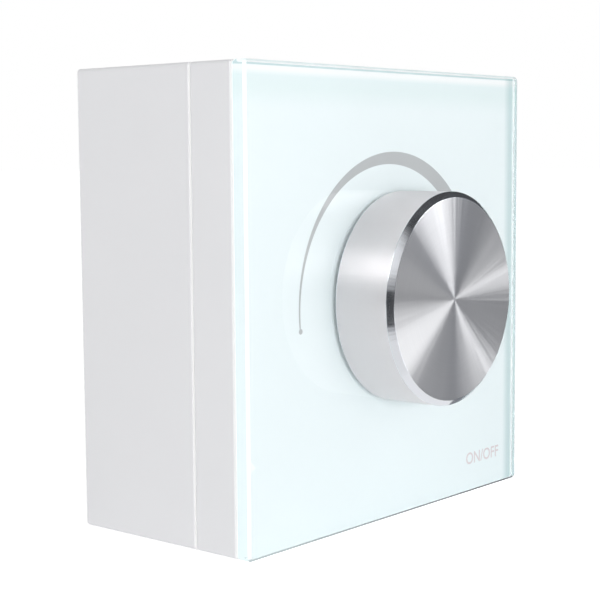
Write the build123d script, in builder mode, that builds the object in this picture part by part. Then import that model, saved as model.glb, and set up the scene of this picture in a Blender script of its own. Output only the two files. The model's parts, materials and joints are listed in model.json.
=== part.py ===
from build123d import *
import os

# Wall dimmer with a push-and-turn knob on a glass panel, in a surface box.
# Sizes are in millimetres. The origin is the centre of the face that meets the wall.
# +Z is up and the front looks along -Y, so every depth is a distance in front of the wall.

os.makedirs("parts", exist_ok=True)

# Panel outline and moulded walls
panel_size = 86.0
corner_radius = 0.8
cavity_radius = 1.0
moulded_edge = 0.2
wall = 2.0
lip_depth = 1.0
lip_gap = 0.15

# Depth of each layer, from the wall forwards
box_floor = 2.0
box_depth = 28.7
seal_thickness = 0.4
frame_depth = 9.4
frame_plate = 2.5
gasket_thickness = 0.4
gasket_inset = 0.05
print_thickness = 0.1
glass_thickness = 2.8

# Glass panel and the print on its back
glass_arris = 0.5
glass_back_arris = 0.15
glass_hole_gap = 0.5
print_margin = 0.2
level_radius = 28.2
level_right = 0.4
level_drop = 0.8
level_thick = 3.4
level_thin = 0.35
level_tilt = 17.0
level_end_drop = 3.7
level_dot_diameter = 1.0
level_dot_inset = 0.25

# Surface box: fixing slots, cable entry and screw bosses
slot_length = 9.0
slot_width = 4.5
slot_inset = 15.0
entry_length = 28.0
entry_width = 13.0
entry_drop = 20.0
boss_wall = 1.2
boss_web = 1.6
boss_web_drop = 3.0
boss_hole_depth = 14.0

# Mounting screws and their brass inserts
screw_inset = 12.85
screw_diameter = 4.0
screw_length = 12.0
screw_head_diameter = 7.2
screw_head_height = 2.6
screw_head_round = 0.8
screw_gap = 0.3
recess_length = 4.0
recess_width = 0.9
recess_depth = 1.4
thread_gap = 0.05
insert_wall = 0.8
insert_length = 8.0
insert_groove_width = 1.2
insert_groove_depth = 0.3
column_floor = 2.0
column_wall = 1.2

# Frame ribs
rib_thickness = 1.2
rib_height = 3.0
rib_pitch = 16.0
rib_gap = 0.6

# Encoder: bush, body, rotor and spindle
encoder_size = 12.0
encoder_height = 6.5
encoder_recess_gap = 0.5
bush_seat = 1.0
bush_plate = 1.3
bush_wall = 0.47
bush_gap = 0.1
bush_proud = 0.3
bush_chamfer = 0.25
running_gap = 0.03
arm_thickness = 0.5
arm_width = 4.0
solder_proud = 0.7
solder_gap = 0.2
pin_width = 0.8
pin_thickness = 0.4
pin_pitch = 2.5
pin_height = 2.0
shaft_diameter = 6.0
shaft_flat = 1.5
shaft_chamfer = 0.4
shaft_end_gap = 0.5
flange_width = 1.2
flange_thickness = 0.8
drive_radius = 2.4
drive_half_width = 1.6
drive_gap = 0.05
nose_radius = 1.3
nose_gap = 0.1
rotor_radius = 4.7
rotor_thickness = 1.6
rotor_clear = 0.2
rotor_side_gap = 0.3
rotor_end_gap = 0.1
notch_count = 20
notch_radius = 0.4

# Push switch under the spindle
push_travel = 0.5
partition_thickness = 0.6
plunger_radius = 1.3
plunger_flange = 0.5
plunger_flange_thickness = 0.2
plunger_float = 0.05
plunger_gap = 0.2
dome_thickness = 0.1
dome_rise_spare = 0.05
dome_radius = 1.9
dome_rim = 0.3
dome_crown = 0.8
pocket_side_gap = 0.4

# Nut and washers that hold the glass
fibre_washer_width = 3.6
fibre_washer_thickness = 0.4
steel_washer_width = 2.5
steel_washer_thickness = 0.3
nut_width = 3.2
nut_thickness = 2.0

# Knob cap, its core and the hub's spring
knob_diameter = 40.0
knob_height = 12.5
knob_gap = 0.6
knob_wall = 2.0
knob_face = 2.0
knob_bevel_width = 1.1
knob_bevel_depth = 1.0
knob_back_round = 0.25
core_gap = 0.05
core_disc = 1.5
core_wall = 1.6
core_rib = 1.4
core_rib_count = 6
hub_wall = 2.4
hub_gap = 0.3
hub_split = 1.0
hub_fit = 0.03
spring_thickness = 0.6
spring_length = 2.5
spring_opening = 50.0
spring_clear = 0.3

# Electronics module: case, board and case screws
case_side_gap = 1.0
case_height = 62.0
case_wall = 1.6
case_round = 1.0
case_corner = 2.0
component_room = 14.8
board_thickness = 1.6
board_gap = 0.4
post_inset = 3.4
post_wall = 1.7
pilot_depth = 4.5
case_screw_diameter = 2.5
case_screw_length = 8.0
case_head_diameter = 4.5
case_head_height = 1.7
case_head_gap = 0.25
case_screw_gap = 0.25
well_floor = 3.0
well_wall = 1.2
vent_length = 18.0
vent_width = 1.6
vent_pitch = 3.2
vent_count = 5

# Terminal block
terminal_ways = 4
terminal_pitch = 5.08
terminal_end_wall = 0.5
terminal_depth = 10.0
terminal_height = 14.0
terminal_inset = 0.4
terminal_gap = 0.3
wire_window = 3.8
wire_window_depth = 7.5
wire_height = 3.2
terminal_shoulder = 2.4
terminal_step = 3.0
cage_gap = 0.1
cage_wall = 0.5
cage_length = 6.0
clamp_screw_radius = 1.3
clamp_head_radius = 1.8
clamp_head_height = 1.6
clamp_head_sink = 1.0
clamp_slot_width = 0.6
clamp_slot_depth = 0.8
clamp_reach = 0.6

# Parts on the back of the board
capacitor_drop = 12.0
film_length = 18.0
film_width = 8.5
film_height = 12.0
film_round = 0.8
film_edge_gap = 2.0
can_diameter = 10.0
can_height = 13.0
can_round = 0.8
can_groove = 0.5
can_groove_height = 1.5
can_edge_gap = 2.2
choke_diameter = 10.0
choke_height = 10.0
choke_flange = 1.6
choke_core_diameter = 5.0
choke_winding_gap = 0.1
choke_winding_inset = 0.8
choke_edge_gap = 1.5
fuse_length = 8.5
fuse_width = 4.2
fuse_height = 8.0
fuse_round = 1.0
fuse_edge_gap = 2.0
transistor_pitch = 14.0
transistor_width = 10.0
transistor_length = 8.5
transistor_height = 4.4
transistor_tab = 1.3
transistor_tab_reach = 1.8
transistor_lead = 1.2
transistor_lead_reach = 2.0
transistor_lead_spread = 5.0
transistor_rise = 14.5
spreader_width = 33.0
spreader_depth = 11.0
spreader_sheet = 1.5
spreader_bend = 1.0

# Parts on the front of the board
radio_width = 16.0
radio_length = 19.0
radio_thickness = 0.8
radio_gap = 1.2
shield_width = 13.0
shield_length = 12.0
shield_height = 2.0
shield_round = 0.4
shield_margin = 1.5
chip_size = 7.0
chip_height = 1.0
chip_chamfer = 0.2
chip_gap = 3.0

# Depths of the layers, worked out from the sizes above
frame_back = box_depth + seal_thickness
frame_front = frame_back + frame_depth
plate_back = frame_front - frame_plate
print_back = frame_front + gasket_thickness
glass_back = print_back + print_thickness
glass_front = glass_back + glass_thickness
fibre_front = glass_front + fibre_washer_thickness
washer_front = fibre_front + steel_washer_thickness
nut_front = washer_front + nut_thickness
bush_tip = nut_front + bush_proud
knob_back = glass_front + knob_gap
knob_front = knob_back + knob_height
cap_inside = knob_front - knob_face
shaft_tip = cap_inside - shaft_end_gap
core_back = cap_inside - core_disc
hub_back = bush_tip + push_travel + hub_gap
core_rib_back = hub_back + spring_length + 2 * spring_clear

# Depths inside the encoder, from the frame's seat back to the board
seat = frame_front - bush_seat
encoder_front = seat - bush_plate
board_front = seat - encoder_height
board_back = board_front - board_thickness
flange_back = encoder_front - flange_thickness
rotor_front = flange_back - push_travel - rotor_clear
rotor_back = rotor_front - rotor_thickness
partition_front = rotor_back - rotor_end_gap
partition_back = partition_front - partition_thickness
plunger_back = partition_back - plunger_flange_thickness - plunger_float
dome_height = push_travel + dome_thickness + dome_rise_spare
pocket_floor = plunger_back - dome_height
drive_back = partition_front + push_travel + nose_gap

# Depths of the module case
case_floor = board_back - component_room
case_back = case_floor - case_wall
well_seat = board_back - well_floor

# Widths that follow from the sizes above
cavity_size = panel_size - 2 * wall
rebate_size = panel_size - wall
tongue_size = rebate_size - 2 * lip_gap
lip_radius = (corner_radius + cavity_radius) / 2
gasket_size = panel_size - 2 * gasket_inset
print_size = panel_size - 2 * print_margin
level_inner_radius = level_radius - (level_thick + level_thin) / 2
level_shift = (level_thick - level_thin) / 2
slot_pitch = panel_size - 2 * slot_inset
screw_pitch = panel_size - 2 * screw_inset
screw_radius = screw_diameter / 2
insert_bore = screw_radius + thread_gap
insert_radius = insert_bore + insert_wall
boss_bore = insert_radius + thread_gap
boss_radius = boss_bore + boss_wall
column_bore = screw_head_diameter / 2 + screw_gap
column_radius = column_bore + column_wall
screw_seat = box_depth + column_floor
shaft_radius = shaft_diameter / 2
bush_bore = shaft_radius + running_gap
bush_radius = bush_bore + bush_wall
flange_radius = bush_bore + flange_width
rotor_chamber = rotor_radius + rotor_side_gap
guide_radius = plunger_radius + plunger_gap
plunger_flange_radius = guide_radius + plunger_flange - plunger_gap
pocket_radius = dome_radius + pocket_side_gap
encoder_recess = encoder_size + 2 * encoder_recess_gap
arm_place = (encoder_size - arm_thickness) / 2
pin_place = (encoder_size - pin_thickness) / 2
knob_radius = knob_diameter / 2
cap_bore = knob_radius - knob_wall
core_radius = cap_bore - core_gap
core_bore = core_radius - core_wall
hub_radius = shaft_radius + hub_wall
case_width = screw_pitch - 2 * (column_radius + case_side_gap)
case_bore_width = case_width - 2 * case_wall
case_bore_height = case_height - 2 * case_wall
board_width = case_bore_width - 2 * board_gap
board_height = case_bore_height - 2 * board_gap
post_pitch_x = case_bore_width - 2 * post_inset
post_pitch_z = case_bore_height - 2 * post_inset
case_screw_radius = case_screw_diameter / 2
post_radius = case_screw_radius + thread_gap + post_wall
well_bore = case_head_diameter / 2 + case_head_gap
well_radius = well_bore + well_wall
terminal_width = terminal_ways * terminal_pitch + 2 * terminal_end_wall
terminal_bottom = terminal_inset - case_height / 2
terminal_top = terminal_bottom + terminal_depth
terminal_back = board_back - terminal_height
wire_axis = board_back - wire_height - wire_window / 2
clamp_z = terminal_bottom + wire_window_depth / 2
film_place = (film_edge_gap + (film_length - board_width) / 2, -capacitor_drop)
can_place = ((board_width - can_diameter) / 2 - can_edge_gap, -capacitor_drop)
choke_place = ((board_width - choke_diameter) / 2 - choke_edge_gap, 0)
fuse_place = (fuse_edge_gap + (fuse_length - board_width) / 2, 0)


def layer(depth):
    """Plane parallel to the wall, at a depth in front of it, looking forwards."""
    return Plane.XZ.offset(depth)


def side_layer(x):
    """Plane across the panel at x, with its own x along the depth and its own y up."""
    return Plane(origin=(x, 0, 0), x_dir=(0, -1, 0), z_dir=(-1, 0, 0))


# Half section through the knob's axis: x is the radius and y the depth
section = Plane(origin=(0, 0, 0), x_dir=(1, 0, 0), z_dir=(0, 0, -1))

# The underside, looking down: x runs along the panel and y is the depth
underside = Plane(origin=(0, 0, terminal_bottom), x_dir=(1, 0, 0), z_dir=(0, 0, -1))


# Surface box: open to the front, with fixing slots, a cable entry and two screw bosses
with BuildPart() as back_box:
    with BuildSketch(layer(0)):
        RectangleRounded(panel_size, panel_size, corner_radius)
    extrude(amount=box_depth)
    with BuildSketch(layer(box_floor)):
        RectangleRounded(cavity_size, cavity_size, cavity_radius)
    extrude(amount=box_depth - box_floor, mode=Mode.SUBTRACT)
    # Rebate round the rim for the frame's lip
    with BuildSketch(layer(box_depth - lip_depth - lip_gap)):
        RectangleRounded(rebate_size, rebate_size, lip_radius)
    extrude(amount=lip_depth + lip_gap, mode=Mode.SUBTRACT)
    # Screw bosses, each tied to its side wall by a web
    with BuildSketch(layer(box_floor)):
        with GridLocations(screw_pitch, 0, 2, 1):
            Circle(boss_radius)
    extrude(amount=box_depth - box_floor)
    web_end = (panel_size - wall) / 2
    web_length = web_end - screw_pitch / 2
    with BuildSketch(layer(box_floor)):
        with GridLocations(screw_pitch + web_length, 0, 2, 1):
            Rectangle(web_length, boss_web)
    extrude(amount=box_depth - box_floor - boss_web_drop)
    with BuildSketch(layer(box_depth - insert_length)):
        with GridLocations(screw_pitch, 0, 2, 1):
            Circle(boss_bore)
    extrude(amount=insert_length, mode=Mode.SUBTRACT)
    with BuildSketch(layer(box_depth - boss_hole_depth)):
        with GridLocations(screw_pitch, 0, 2, 1):
            Circle(screw_radius + thread_gap)
    extrude(amount=boss_hole_depth, mode=Mode.SUBTRACT)
    # Fixing slots and cable entry through the floor
    with BuildSketch(layer(0)):
        with GridLocations(slot_pitch, slot_pitch, 2, 2):
            SlotOverall(slot_length, slot_width)
        with Locations((0, -entry_drop)):
            SlotOverall(entry_length, entry_width)
    extrude(amount=box_floor, mode=Mode.SUBTRACT)
    rim = back_box.faces().group_by(Axis.Y)[0].sort_by(SortBy.AREA)[-1]
    wall_face = back_box.faces().sort_by(Axis.Y)[-1]
    fillet(rim.outer_wire().edges() + wall_face.outer_wire().edges(), moulded_edge)

back_box.part.label = "back_box"
export_step(back_box.part, "parts/back_box.step")

# Brass inserts for the mounting screws, each with a grip groove round it
with BuildPart() as box_inserts:
    with BuildSketch(layer(box_depth - insert_length)):
        with GridLocations(screw_pitch, 0, 2, 1):
            Circle(insert_radius)
            Circle(insert_bore, mode=Mode.SUBTRACT)
    extrude(amount=insert_length)
    with BuildSketch(layer(box_depth - (insert_length + insert_groove_width) / 2)):
        with GridLocations(screw_pitch, 0, 2, 1):
            Circle(insert_radius)
            Circle(insert_radius - insert_groove_depth, mode=Mode.SUBTRACT)
    extrude(amount=insert_groove_width, mode=Mode.SUBTRACT)

box_inserts.part.label = "box_inserts"
export_step(box_inserts.part, "parts/box_inserts.step")

# Seal on the box's rim, round the frame's lip; its edge shows as a thin white line
with BuildPart() as box_seal:
    with BuildSketch(layer(box_depth)):
        RectangleRounded(gasket_size, gasket_size, corner_radius)
        RectangleRounded(rebate_size, rebate_size, lip_radius, mode=Mode.SUBTRACT)
    extrude(amount=seal_thickness)

box_seal.part.label = "box_seal"
export_step(box_seal.part, "parts/box_seal.step")

# Frame: a tray open to the back, with screw columns, board posts, ribs and a lip
with BuildPart() as panel_frame:
    with BuildSketch(layer(frame_back)):
        RectangleRounded(panel_size, panel_size, corner_radius)
    extrude(amount=frame_depth)
    with BuildSketch(layer(frame_back)):
        RectangleRounded(cavity_size, cavity_size, cavity_radius)
    extrude(amount=frame_depth - frame_plate, mode=Mode.SUBTRACT)
    rear_edge = panel_frame.faces().sort_by(Axis.Y)[-1].outer_wire().edges()
    front_edge = panel_frame.faces().sort_by(Axis.Y)[0].outer_wire().edges()
    fillet(rear_edge + front_edge, moulded_edge)
    # Lip that drops into the box's rebate
    with BuildSketch(layer(box_depth - lip_depth)):
        RectangleRounded(tongue_size, tongue_size, lip_radius)
        RectangleRounded(cavity_size, cavity_size, cavity_radius, mode=Mode.SUBTRACT)
    extrude(amount=lip_depth + seal_thickness + moulded_edge)
    # Stiffening ribs between the module and the skirt
    with BuildSketch(layer(plate_back - rib_height)):
        rib_end_z = (panel_size - wall) / 2
        rib_start_z = case_height / 2 + rib_gap
        with GridLocations(rib_pitch, rib_end_z + rib_start_z, 3, 2):
            Rectangle(rib_thickness, rib_end_z - rib_start_z)
        rib_start_x = case_width / 2 + rib_gap
        with GridLocations(rib_end_z + rib_start_x, 2 * rib_pitch, 2, 2):
            Rectangle(rib_end_z - rib_start_x, rib_thickness)
    extrude(amount=rib_height)
    # Posts that the board sits on
    with BuildSketch(layer(board_front)):
        with GridLocations(post_pitch_x, post_pitch_z, 2, 2):
            Circle(post_radius)
    extrude(amount=plate_back - board_front)
    with BuildSketch(layer(board_front)):
        with GridLocations(post_pitch_x, post_pitch_z, 2, 2):
            Circle(case_screw_radius + thread_gap)
    extrude(amount=pilot_depth, mode=Mode.SUBTRACT)
    # Columns that stand on the box's bosses and take the screw heads
    with BuildSketch(layer(box_depth)):
        with GridLocations(screw_pitch, 0, 2, 1):
            Circle(column_radius)
    extrude(amount=plate_back - box_depth)
    with Locations(layer(frame_front)):
        with GridLocations(screw_pitch, 0, 2, 1):
            CounterBoreHole(screw_radius + screw_gap, column_bore, frame_front - screw_seat)
    # Seat of the encoder and hole for its bush
    with BuildSketch(layer(plate_back)):
        Rectangle(encoder_recess, encoder_recess)
    extrude(amount=seat - plate_back, mode=Mode.SUBTRACT)
    with BuildSketch(layer(seat)):
        Circle(bush_radius + bush_gap)
    extrude(amount=bush_seat, mode=Mode.SUBTRACT)

panel_frame.part.label = "panel_frame"
export_step(panel_frame.part, "parts/panel_frame.step")

# Mounting screws: pan heads with a cross recess
with BuildPart() as mounting_screws:
    with BuildSketch(layer(screw_seat)):
        with GridLocations(screw_pitch, 0, 2, 1):
            Circle(screw_head_diameter / 2)
    extrude(amount=screw_head_height)
    fillet(mounting_screws.edges().group_by(Axis.Y)[0], screw_head_round)
    with BuildSketch(layer(screw_seat)):
        with GridLocations(screw_pitch, 0, 2, 1):
            Circle(screw_radius)
    extrude(amount=-screw_length)
    with BuildSketch(layer(screw_seat + screw_head_height)):
        with GridLocations(screw_pitch, 0, 2, 1):
            Rectangle(recess_length, recess_width)
            Rectangle(recess_width, recess_length)
    extrude(amount=-recess_depth, mode=Mode.SUBTRACT)

mounting_screws.part.label = "mounting_screws"
export_step(mounting_screws.part, "parts/mounting_screws.step")

# Gasket between frame and glass, clear of the screws and the bush; its edge shows as a second white line
with BuildPart() as glass_gasket:
    with BuildSketch(layer(frame_front)):
        RectangleRounded(gasket_size, gasket_size, corner_radius)
        with GridLocations(screw_pitch, 0, 2, 1):
            Circle(column_radius, mode=Mode.SUBTRACT)
        Circle(bush_radius + glass_hole_gap, mode=Mode.SUBTRACT)
    extrude(amount=gasket_thickness)

glass_gasket.part.label = "glass_gasket"
export_step(glass_gasket.part, "parts/glass_gasket.step")

# Level arc of the print: the space between two circles, thickest at level_tilt above the right
with BuildSketch(layer(print_back)) as level_outline:
    with Locations((level_right, -level_drop)):
        Circle(level_radius)
        with PolarLocations(level_shift, 1, start_angle=180 + level_tilt):
            Circle(level_inner_radius, mode=Mode.SUBTRACT)
        with Locations((0, level_radius - level_end_drop)):
            Rectangle(2 * level_radius, 2 * level_radius, mode=Mode.INTERSECT)
        dot_radius = level_radius - level_dot_inset
        dot_x = -(dot_radius**2 - level_end_drop**2) ** 0.5
        with Locations((dot_x, -level_end_drop)):
            Circle(level_dot_diameter / 2)

with BuildPart() as level_arc:
    extrude(level_outline.sketch, amount=print_thickness)

level_arc.part.label = "level_arc"
export_step(level_arc.part, "parts/level_arc.step")

# White print behind the glass, with the level arc left open
with BuildPart() as glass_print:
    with BuildSketch(layer(print_back)):
        RectangleRounded(print_size, print_size, corner_radius)
        Circle(bush_radius + glass_hole_gap, mode=Mode.SUBTRACT)
    extrude(amount=print_thickness)
    extrude(level_outline.sketch, amount=print_thickness, mode=Mode.SUBTRACT)

glass_print.part.label = "glass_print"
export_step(glass_print.part, "parts/glass_print.step")

# Glass panel with ground edges and a hole for the bush
with BuildPart() as glass_panel:
    with BuildSketch(layer(glass_back)):
        RectangleRounded(panel_size, panel_size, corner_radius)
        Circle(bush_radius + glass_hole_gap, mode=Mode.SUBTRACT)
    extrude(amount=glass_thickness)
    chamfer(glass_panel.faces().sort_by(Axis.Y)[0].outer_wire().edges(), glass_arris)
    chamfer(glass_panel.faces().sort_by(Axis.Y)[-1].outer_wire().edges(), glass_back_arris)

glass_panel.part.label = "glass_panel"
export_step(glass_panel.part, "parts/glass_panel.step")

# Washers and nut on the bush, in front of the glass
with BuildPart() as fibre_washer:
    with BuildSketch(layer(glass_front)):
        Circle(bush_radius + bush_gap + fibre_washer_width)
        Circle(bush_radius + bush_gap, mode=Mode.SUBTRACT)
    extrude(amount=fibre_washer_thickness)

fibre_washer.part.label = "fibre_washer"
export_step(fibre_washer.part, "parts/fibre_washer.step")

with BuildPart() as steel_washer:
    with BuildSketch(layer(fibre_front)):
        Circle(bush_radius + bush_gap + steel_washer_width)
        Circle(bush_radius + bush_gap, mode=Mode.SUBTRACT)
    extrude(amount=steel_washer_thickness)

steel_washer.part.label = "steel_washer"
export_step(steel_washer.part, "parts/steel_washer.step")

with BuildPart() as bush_nut:
    with BuildSketch(layer(washer_front)):
        RegularPolygon(bush_radius + nut_width / 2, 6, major_radius=False)
        Circle(bush_radius + thread_gap, mode=Mode.SUBTRACT)
    extrude(amount=nut_thickness)

bush_nut.part.label = "bush_nut"
export_step(bush_nut.part, "parts/bush_nut.step")

# Encoder cover: plate with the bush, and two arms folded back to the board
with BuildPart() as encoder_bush:
    with BuildSketch(layer(encoder_front)):
        Rectangle(encoder_size, encoder_size)
    extrude(amount=bush_plate)
    with BuildSketch(layer(seat)):
        Circle(bush_radius)
    extrude(amount=bush_tip - seat)
    chamfer(encoder_bush.edges().filter_by(GeomType.CIRCLE).group_by(Axis.Y)[0], bush_chamfer)
    with BuildSketch(layer(encoder_front)):
        Circle(bush_bore)
    extrude(amount=bush_tip - encoder_front, mode=Mode.SUBTRACT)
    with BuildSketch(layer(board_back - solder_proud)):
        with GridLocations(2 * arm_place, 0, 2, 1):
            Rectangle(arm_thickness, arm_width)
    extrude(amount=encoder_front - board_back + solder_proud)

encoder_bush.part.label = "encoder_bush"
export_step(encoder_bush.part, "parts/encoder_bush.step")

# Encoder body: rotor chamber in front, plunger guide, and switch pocket behind
with BuildPart() as encoder_body:
    with BuildSketch(layer(board_front)):
        Rectangle(encoder_size - 2 * arm_thickness, encoder_size - 2 * pin_thickness)
    extrude(amount=encoder_front - board_front)
    with BuildSketch(layer(partition_front)):
        Circle(rotor_chamber)
    extrude(amount=encoder_front - partition_front, mode=Mode.SUBTRACT)
    with BuildSketch(layer(partition_back)):
        Circle(guide_radius)
    extrude(amount=partition_thickness, mode=Mode.SUBTRACT)
    with BuildSketch(layer(pocket_floor)):
        Circle(pocket_radius)
    extrude(amount=partition_back - pocket_floor, mode=Mode.SUBTRACT)

encoder_body.part.label = "encoder_body"
export_step(encoder_body.part, "parts/encoder_body.step")

# Solder pins: three for the turning contacts below, two for the switch above
with BuildPart() as encoder_pins:
    with BuildSketch(layer(board_back - solder_proud)):
        with Locations((0, -pin_place)):
            with GridLocations(pin_pitch, 0, 3, 1):
                Rectangle(pin_width, pin_thickness)
        with Locations((0, pin_place)):
            with GridLocations(2 * pin_pitch, 0, 2, 1):
                Rectangle(pin_width, pin_thickness)
    extrude(amount=board_thickness + solder_proud + pin_height)

encoder_pins.part.label = "encoder_pins"
export_step(encoder_pins.part, "parts/encoder_pins.step")

# Rotor: disc with detent notches, turned by the spindle's two flats
with BuildPart() as encoder_rotor:
    with BuildSketch(layer(rotor_back)):
        Circle(rotor_radius)
        with PolarLocations(rotor_radius, notch_count):
            Circle(notch_radius, mode=Mode.SUBTRACT)
    extrude(amount=rotor_thickness)
    with BuildSketch(layer(rotor_back)):
        Circle(drive_radius + drive_gap)
        Rectangle(2 * (drive_half_width + drive_gap), encoder_size, mode=Mode.INTERSECT)
    extrude(amount=rotor_thickness, mode=Mode.SUBTRACT)

encoder_rotor.part.label = "encoder_rotor"
export_step(encoder_rotor.part, "parts/encoder_rotor.step")

# Spindle: flatted end for the knob, flange behind the bush, drive flats and a nose
with BuildPart() as encoder_shaft:
    with BuildSketch(layer(flange_back)):
        Circle(shaft_radius)
    extrude(amount=shaft_tip - flange_back)
    chamfer(encoder_shaft.edges().group_by(Axis.Y)[0], shaft_chamfer)
    with BuildSketch(layer(flange_back)):
        Circle(flange_radius)
    extrude(amount=flange_thickness)
    with BuildSketch(layer(drive_back)):
        Circle(drive_radius)
        Rectangle(2 * drive_half_width, encoder_size, mode=Mode.INTERSECT)
    extrude(amount=flange_back - drive_back)
    with BuildSketch(layer(partition_front)):
        Circle(nose_radius)
    extrude(amount=drive_back - partition_front)
    with BuildSketch(layer(hub_back)):
        with Locations((0, 2 * shaft_radius - shaft_flat)):
            Rectangle(shaft_diameter, shaft_diameter)
    extrude(amount=shaft_tip - hub_back, mode=Mode.SUBTRACT)

encoder_shaft.part.label = "encoder_shaft"
export_step(encoder_shaft.part, "parts/encoder_shaft.step")

# Plunger that carries the spindle's push to the dome, with a flange that keeps it in its guide
with BuildPart() as switch_plunger:
    with BuildSketch(layer(plunger_back)):
        Circle(plunger_radius)
    extrude(amount=partition_front - plunger_back)
    with BuildSketch(layer(plunger_back)):
        Circle(plunger_flange_radius)
    extrude(amount=plunger_flange_thickness)

switch_plunger.part.label = "switch_plunger"
export_step(switch_plunger.part, "parts/switch_plunger.step")

# Snap dome: a shallow cup of sheet with sloping sides, standing on its rim
with BuildPart() as switch_dome:
    with BuildSketch(section):
        with BuildLine():
            Polyline(
                (0, plunger_back - dome_thickness),
                (0, plunger_back),
                (dome_crown, plunger_back),
                (dome_radius, pocket_floor),
                (dome_radius - dome_rim, pocket_floor),
                (dome_crown - dome_thickness, plunger_back - dome_thickness),
                close=True,
            )
        make_face()
    revolve(axis=Axis.Y)

switch_dome.part.label = "switch_dome"
export_step(switch_dome.part, "parts/switch_dome.step")

# Knob cap: turned cup with a bevelled front edge and a rounded back edge
with BuildPart() as knob_cap:
    with BuildSketch(section):
        with BuildLine():
            Polyline(
                (0, cap_inside),
                (0, knob_front),
                (knob_radius - knob_bevel_width, knob_front),
                (knob_radius, knob_front - knob_bevel_depth),
                (knob_radius, knob_back),
                (cap_bore, knob_back),
                (cap_bore, cap_inside),
                close=True,
            )
        make_face()
    revolve(axis=Axis.Y)
    fillet(knob_cap.edges().group_by(Axis.Y)[-1].sort_by(SortBy.RADIUS)[-1], knob_back_round)

knob_cap.part.label = "knob_cap"
export_step(knob_cap.part, "parts/knob_cap.step")

# Knob core: disc, ring and ribs that fill the cap, and a split hub with a D-shaped bore
with BuildPart() as knob_core:
    with BuildSketch(layer(core_back)):
        Circle(core_radius)
    extrude(amount=core_disc)
    with BuildSketch(layer(core_rib_back)):
        Circle(core_radius)
        Circle(core_bore, mode=Mode.SUBTRACT)
        with PolarLocations(core_bore / 2, core_rib_count, start_angle=90):
            Rectangle(core_bore + core_wall, core_rib)
    extrude(amount=core_back - core_rib_back)
    with BuildSketch(layer(hub_back)):
        Circle(hub_radius)
    extrude(amount=core_back - hub_back)
    with BuildSketch(layer(hub_back)):
        Rectangle(2 * hub_radius + hub_split, hub_split)
    extrude(amount=spring_length + 2 * spring_clear, mode=Mode.SUBTRACT)
    bore_radius = shaft_radius + hub_fit
    with BuildSketch(layer(hub_back)):
        Circle(bore_radius)
        with Locations((0, -shaft_flat / 2)):
            Rectangle(2 * bore_radius, 2 * bore_radius - shaft_flat, mode=Mode.INTERSECT)
    extrude(amount=cap_inside - hub_back, mode=Mode.SUBTRACT)

knob_core.part.label = "knob_core"
export_step(knob_core.part, "parts/knob_core.step")

# Open spring ring that squeezes the split hub onto the spindle
with BuildPart() as hub_spring:
    with BuildSketch(layer(hub_back + spring_clear)):
        Circle(hub_radius + hub_fit + spring_thickness)
        Circle(hub_radius + hub_fit, mode=Mode.SUBTRACT)
        with BuildLine():
            reach = 2 * hub_radius
            Polyline(
                (0, 0),
                Vector(reach, 0).rotate(Axis.Z, 90 - spring_opening / 2),
                Vector(reach, 0).rotate(Axis.Z, 90 + spring_opening / 2),
                close=True,
            )
        make_face(mode=Mode.SUBTRACT)
    extrude(amount=spring_length)

hub_spring.part.label = "hub_spring"
export_step(hub_spring.part, "parts/hub_spring.step")

# Circuit board with holes for the case screws, the encoder's arms and its pins
with BuildPart() as circuit_board:
    with BuildSketch(layer(board_back)):
        Rectangle(board_width, board_height)
        with GridLocations(post_pitch_x, post_pitch_z, 2, 2):
            Circle(case_screw_radius + case_screw_gap, mode=Mode.SUBTRACT)
        with GridLocations(2 * arm_place, 0, 2, 1):
            Rectangle(arm_thickness + 2 * solder_gap, arm_width + 2 * solder_gap, mode=Mode.SUBTRACT)
        with Locations((0, -pin_place)):
            with GridLocations(pin_pitch, 0, 3, 1):
                Circle(pin_width / 2 + solder_gap, mode=Mode.SUBTRACT)
        with Locations((0, pin_place)):
            with GridLocations(2 * pin_pitch, 0, 2, 1):
                Circle(pin_width / 2 + solder_gap, mode=Mode.SUBTRACT)
    extrude(amount=board_thickness)

circuit_board.part.label = "circuit_board"
export_step(circuit_board.part, "parts/circuit_board.step")

# Module case: cup open to the frame, with deep screw wells, vents and a bay for the terminals
with BuildPart() as module_case:
    with BuildSketch(layer(case_back)):
        RectangleRounded(case_width, case_height, case_corner)
    extrude(amount=plate_back - case_back)
    fillet(module_case.faces().sort_by(Axis.Y)[-1].outer_wire().edges(), case_round)
    with BuildSketch(layer(case_floor)):
        Rectangle(case_bore_width, case_bore_height)
    extrude(amount=plate_back - case_floor, mode=Mode.SUBTRACT)
    with BuildSketch(layer(case_floor)):
        with GridLocations(post_pitch_x, post_pitch_z, 2, 2):
            Circle(well_radius)
    extrude(amount=board_back - case_floor)
    with BuildSketch(layer(case_back)):
        with GridLocations(post_pitch_x, post_pitch_z, 2, 2):
            Circle(well_bore)
    extrude(amount=well_seat - case_back, mode=Mode.SUBTRACT)
    with BuildSketch(layer(well_seat)):
        with GridLocations(post_pitch_x, post_pitch_z, 2, 2):
            Circle(case_screw_radius + case_screw_gap)
    extrude(amount=well_floor, mode=Mode.SUBTRACT)
    bay_top = terminal_top + terminal_gap
    bay_bottom = -case_height / 2 - case_wall
    with BuildSketch(layer(case_back)):
        with Locations((0, (bay_top + bay_bottom) / 2)):
            Rectangle(terminal_width + 2 * terminal_gap, bay_top - bay_bottom)
    extrude(amount=board_back - case_back, mode=Mode.SUBTRACT)
    with BuildSketch(layer(case_back)):
        with Locations((0, transistor_rise)):
            with GridLocations(0, vent_pitch, 1, vent_count):
                SlotOverall(vent_length, vent_width)
    extrude(amount=case_wall, mode=Mode.SUBTRACT)

module_case.part.label = "module_case"
export_step(module_case.part, "parts/module_case.step")

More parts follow.
